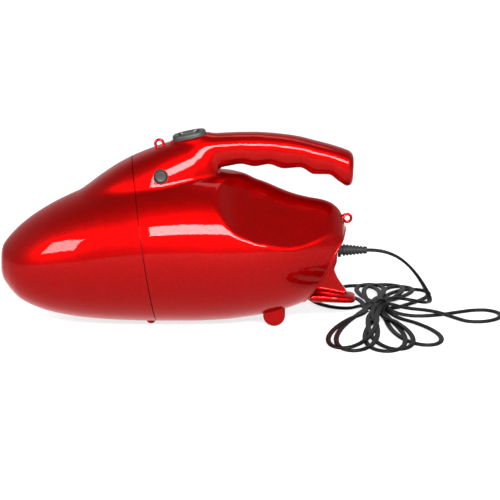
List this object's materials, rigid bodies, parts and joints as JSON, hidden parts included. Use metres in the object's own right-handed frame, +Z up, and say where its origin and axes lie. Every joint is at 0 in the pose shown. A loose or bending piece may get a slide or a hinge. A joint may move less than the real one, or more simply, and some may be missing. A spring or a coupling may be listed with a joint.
{
  "type": "pet dryer",
  "caption": "Hand-held bullet-shaped pet dryer with a bridge handle, pull-off front cup, nose bore, slanted louvred tail and tied flat mains cord.",
  "frame": {"origin": "centre of the object's footprint, on the surface that its feet stand on", "axes": "+Z up, +X from the nose to the tail, handle on top, left side towards -Y"},
  "size_m": [0.5011, 0.26, 0.1958],
  "materials": {
    "red_gloss": "metallic red lacquer under clear coat",
    "dark_red": "dark red moulded plastic",
    "grey_trim": "satin grey-green plastic",
    "black_plastic": "fine matt texture",
    "rubber": "matt",
    "filter_felt": "felt",
    "steel": "machined",
    "aluminium": "die cast",
    "laminations": "stacked laminations",
    "copper": "enamelled copper",
    "brass": "bright",
    "carbon": "matt carbon",
    "ivory_plastic": "plain moulded",
    "suppressor": "smooth epoxy",
    "black_cord": "semi-gloss flexible sheath"
  },
  "bodies": {
    "housing": {"filter_frame": "black_plastic", "filter_cone": "filter_felt", "cup_seal": "rubber", "housing_left": "red_gloss", "housing_right": "red_gloss", "housing_screws": "steel", "rear_foot_left": "red_gloss", "rear_foot_right": "red_gloss", "tail_fin": "red_gloss", "outlet_grille": "dark_red", "front_strap_lug": "red_gloss", "rear_strap_lug": "red_gloss", "switch_bezel": "grey_trim", "switch_body": "black_plastic", "switch_terminals": "brass", "button_spring_left": "steel", "button_spring_right": "steel", "latch_block": "ivory_plastic", "fan_shroud": "ivory_plastic", "bearing_front": "steel", "bearing_rear": "steel", "motor_bracket_front": "aluminium", "motor_bracket_rear": "aluminium", "motor_stator": "laminations", "field_coils": "copper", "brush_holders": "brass", "carbon_brushes": "carbon", "motor_mount_front": "rubber", "motor_mount_rear": "rubber", "bulkhead_front": "ivory_plastic", "bulkhead_rear": "ivory_plastic", "suppressor": "suppressor", "wiring_harness": "black_cord", "strain_relief": "rubber", "cord_lead": "black_cord", "cord_hank": "black_cord", "cord_loop": "black_cord", "cord_end": "black_cord", "cord_tie": "black_cord", "plug_body": "black_cord", "plug_pins": "brass"},
    "front_cup": {"front_cup": "red_gloss", "cup_latch_tongue": "dark_red", "nose_port": "dark_red", "front_glide": "red_gloss"},
    "rotor": {"impeller": "aluminium", "impeller_nut": "steel", "motor_shaft": "steel", "armature_core": "laminations", "armature_windings": "copper", "commutator": "copper"},
    "power_rocker": {"power_rocker": "black_plastic"},
    "release_left": {"release_button_left": "grey_trim"},
    "release_right": {"release_button_right": "grey_trim"}
  },
  "joints": [
    {"name": "cup_slide", "type": "slide", "parent": "housing", "child": "front_cup", "axis": [-1, 0, 0], "range_m": [0, 0.09]},
    {"name": "rotor_spin", "type": "hinge", "parent": "housing", "child": "rotor", "pos_m": [0, 0, 0.079], "axis": [1, 0, 0], "continuous": true},
    {"name": "rocker_tilt", "type": "hinge", "parent": "housing", "child": "power_rocker", "pos_m": [0.01125, 0, 0.18733], "axis": [0, 1, 0], "range_deg": [0, 10]},
    {"name": "release_left_press", "type": "slide", "parent": "housing", "child": "release_left", "axis": [0, 1, 0], "range_m": [0, 0.003], "stiffness_N_per_m": 600, "springref_m": -0.001, "deforming": ["button_spring_left"]},
    {"name": "release_right_press", "type": "slide", "parent": "housing", "child": "release_right", "axis": [0, -1, 0], "range_m": [0, 0.003], "stiffness_N_per_m": 600, "springref_m": -0.001, "deforming": ["button_spring_right"]}
  ]
}
